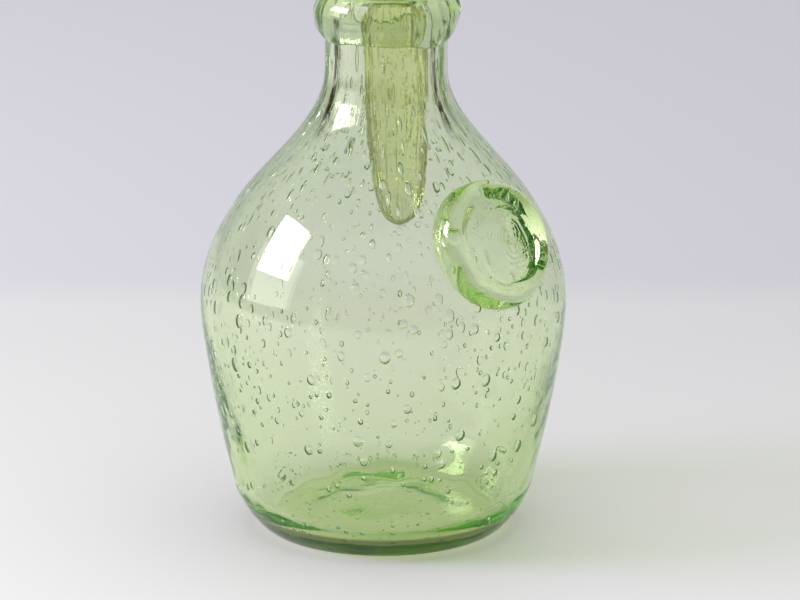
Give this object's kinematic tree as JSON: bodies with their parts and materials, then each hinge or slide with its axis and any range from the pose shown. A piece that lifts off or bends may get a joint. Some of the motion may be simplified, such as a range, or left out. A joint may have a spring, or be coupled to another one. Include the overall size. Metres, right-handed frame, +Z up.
{
  "type": "glass bud vase",
  "caption": "Hand-blown seeded green glass bottle vase with a rolled lip collar, a stamped seal on the shoulder and a loose solid glass stopper.",
  "frame": {"origin": "centre of the foot ring, on the surface that the vase stands on", "axes": "+Z up along the axis of the neck; the seal looks 42 degrees from -Y towards +X"},
  "size_m": [0.09, 0.09, 0.158],
  "materials": {
    "vase_glass": "polished, fire-finished, seeded with air bubbles",
    "stopper_glass": "polished, fire-finished, slightly more yellow than the vase"
  },
  "bodies": {
    "vase": {"vase_body": "vase_glass", "lip_collar": "vase_glass", "shoulder_seal": "vase_glass"},
    "stopper": {"stopper": "stopper_glass"}
  },
  "joints": [
    {"name": "stopper_lift", "type": "slide", "parent": "vase", "child": "stopper", "axis": [0, 0, 1], "range_m": [0, 0.07]}
  ]
}
